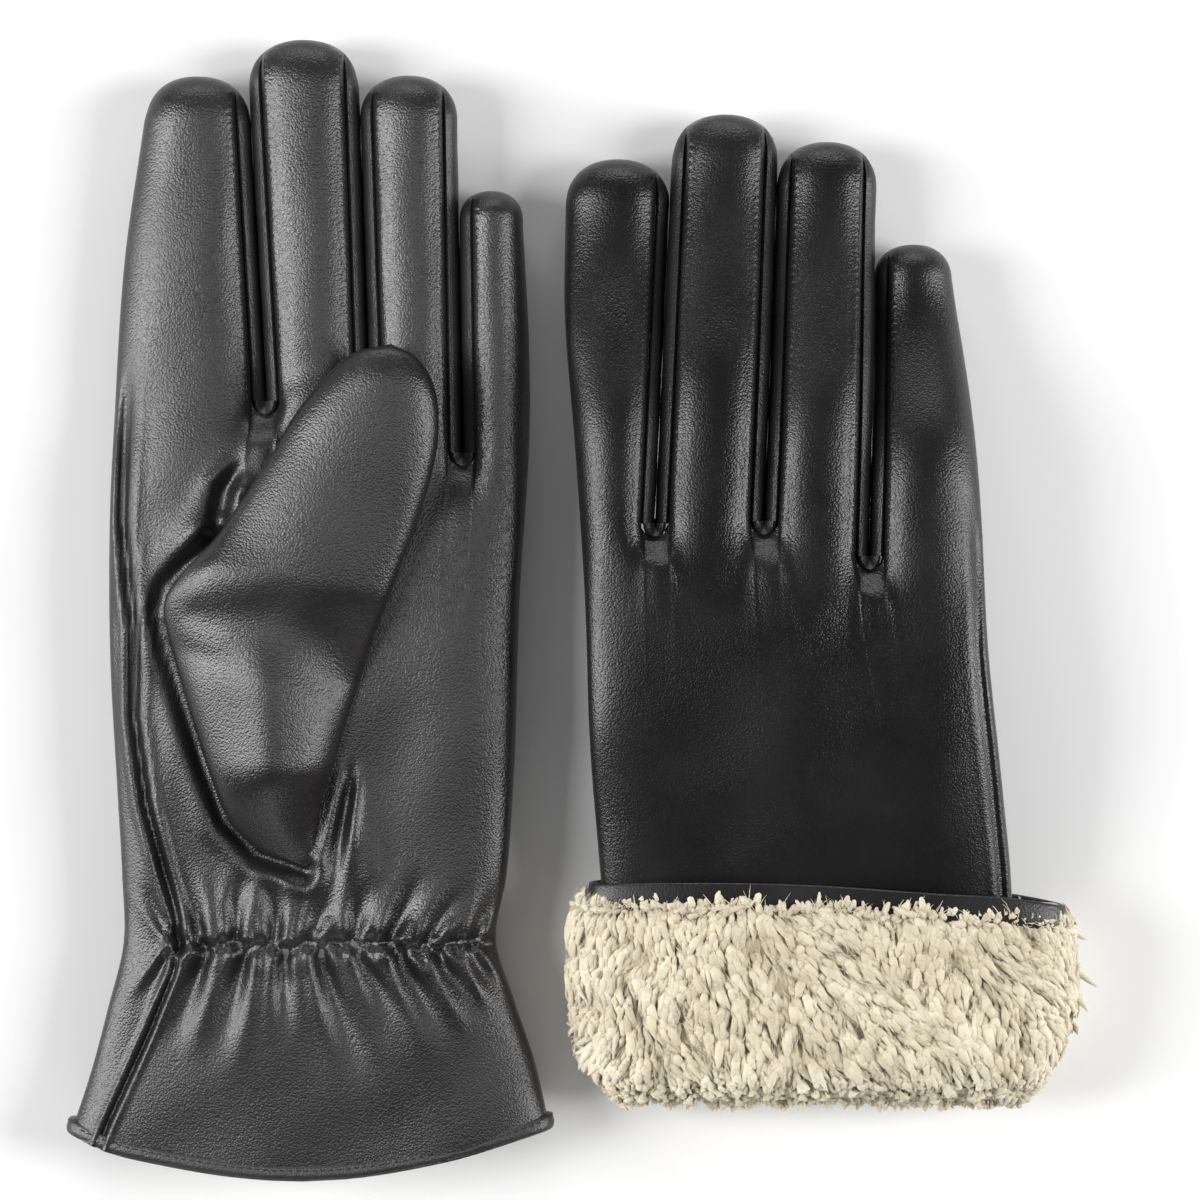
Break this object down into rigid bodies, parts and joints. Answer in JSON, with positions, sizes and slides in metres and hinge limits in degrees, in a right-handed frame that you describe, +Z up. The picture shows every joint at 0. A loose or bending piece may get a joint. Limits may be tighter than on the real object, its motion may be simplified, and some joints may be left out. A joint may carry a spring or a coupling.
{
  "type": "pair of lined leather gloves",
  "caption": "Pair of smooth black leather dress gloves with a cream fleece lining, one palm up, the other back up with its cuff turned back.",
  "frame": {"origin": "centre of the bounding box of the two gloves, on the table they lie on", "axes": "+X across both gloves from the left glove to the right one, +Y towards the fingertips, +Z up from the table"},
  "size_m": [0.233, 0.2638, 0.0343],
  "materials": {
    "leather": "smooth black nappa leather with a soft sheen",
    "gusset_leather": "the same leather, thinner, between the fingers",
    "binding_leather": "folded leather binding with one row of topstitching",
    "fleece": "tufted cream sherpa fleece",
    "elastic": "black woven elastic"
  },
  "bodies": {
    "left_hand": {"left_palm_panel": "leather", "left_back_panel": "leather", "left_palm_lining": "fleece", "left_back_lining": "fleece", "left_crotch_gusset_1": "gusset_leather", "left_crotch_gusset_2": "gusset_leather", "left_crotch_gusset_3": "gusset_leather", "left_wrist_elastic": "elastic", "left_hem_binding": "binding_leather"},
    "left_index": {"left_index_palm": "leather", "left_index_back": "leather", "left_index_lining": "fleece", "left_index_gusset_little_side": "gusset_leather"},
    "left_middle": {"left_middle_palm": "leather", "left_middle_back": "leather", "left_middle_lining": "fleece", "left_middle_gusset_index_side": "gusset_leather", "left_middle_gusset_little_side": "gusset_leather"},
    "left_ring": {"left_ring_palm": "leather", "left_ring_back": "leather", "left_ring_lining": "fleece", "left_ring_gusset_index_side": "gusset_leather", "left_ring_gusset_little_side": "gusset_leather"},
    "left_little": {"left_little_palm": "leather", "left_little_back": "leather", "left_little_lining": "fleece", "left_little_gusset_index_side": "gusset_leather"},
    "left_thumb": {"left_thumb_panel": "leather", "left_thumb_lining": "fleece"},
    "right_hand": {"right_palm_panel": "leather", "right_back_panel": "leather", "right_palm_lining": "fleece", "right_back_lining": "fleece", "right_crotch_gusset_1": "gusset_leather", "right_crotch_gusset_2": "gusset_leather", "right_crotch_gusset_3": "gusset_leather", "right_wrist_elastic": "elastic", "right_hem_binding": "binding_leather", "right_turned_cuff_leather": "leather", "right_turned_cuff_fleece": "fleece"},
    "right_index": {"right_index_palm": "leather", "right_index_back": "leather", "right_index_lining": "fleece", "right_index_gusset_little_side": "gusset_leather"},
    "right_middle": {"right_middle_palm": "leather", "right_middle_back": "leather", "right_middle_lining": "fleece", "right_middle_gusset_index_side": "gusset_leather", "right_middle_gusset_little_side": "gusset_leather"},
    "right_ring": {"right_ring_palm": "leather", "right_ring_back": "leather", "right_ring_lining": "fleece", "right_ring_gusset_index_side": "gusset_leather", "right_ring_gusset_little_side": "gusset_leather"},
    "right_little": {"right_little_palm": "leather", "right_little_back": "leather", "right_little_lining": "fleece", "right_little_gusset_index_side": "gusset_leather"},
    "right_thumb": {"right_thumb_panel": "leather", "right_thumb_lining": "fleece"}
  },
  "joints": [
    {"name": "left_index_knuckle", "type": "hinge", "parent": "left_hand", "child": "left_index", "pos_m": [-0.08766, 0.072, 0.0167], "axis": [0.9984, 0.0566, 0], "range_deg": [0, 75]},
    {"name": "left_middle_knuckle", "type": "hinge", "parent": "left_hand", "child": "left_middle", "pos_m": [-0.06002, 0.074, 0.0167], "axis": [0.999, 0.045, 0], "range_deg": [0, 75]},
    {"name": "left_ring_knuckle", "type": "hinge", "parent": "left_hand", "child": "left_ring", "pos_m": [-0.03673, 0.07, 0.0167], "axis": [0.9997, 0.0245, 0], "range_deg": [0, 75]},
    {"name": "left_little_knuckle", "type": "hinge", "parent": "left_hand", "child": "left_little", "pos_m": [-0.01783, 0.058, 0.0167], "axis": [0.9999, 0.0156, 0], "range_deg": [0, 75]},
    {"name": "left_thumb_base", "type": "hinge", "parent": "left_hand", "child": "left_thumb", "pos_m": [-0.0751, -0.02875, 0.02015], "axis": [0.4384, -0.8988, 0], "range_deg": [0, 75]},
    {"name": "right_glove_lift", "type": "slide", "parent": "left_hand", "child": "right_hand", "axis": [0, 0, 1], "range_m": [0, 0.12]},
    {"name": "right_index_knuckle", "type": "hinge", "parent": "right_hand", "child": "right_index", "pos_m": [0.01029, 0.044, 0.0156], "axis": [-0.9988, 0.0483, 0], "range_deg": [0, 75]},
    {"name": "right_middle_knuckle", "type": "hinge", "parent": "right_hand", "child": "right_middle", "pos_m": [0.03283, 0.046, 0.0156], "axis": [-0.9989, 0.0466, 0], "range_deg": [0, 75]},
    {"name": "right_ring_knuckle", "type": "hinge", "parent": "right_hand", "child": "right_ring", "pos_m": [0.05709, 0.042, 0.0156], "axis": [-0.9993, 0.0372, 0], "range_deg": [0, 75]},
    {"name": "right_little_knuckle", "type": "hinge", "parent": "right_hand", "child": "right_little", "pos_m": [0.08082, 0.035, 0.0156], "axis": [-0.9996, 0.0294, 0], "range_deg": [0, 75]},
    {"name": "right_thumb_base", "type": "hinge", "parent": "right_hand", "child": "right_thumb", "pos_m": [0.0349, -0.0205, 0.01415], "axis": [-0.5283, 0.8491, 0], "range_deg": [0, 75]}
  ]
}
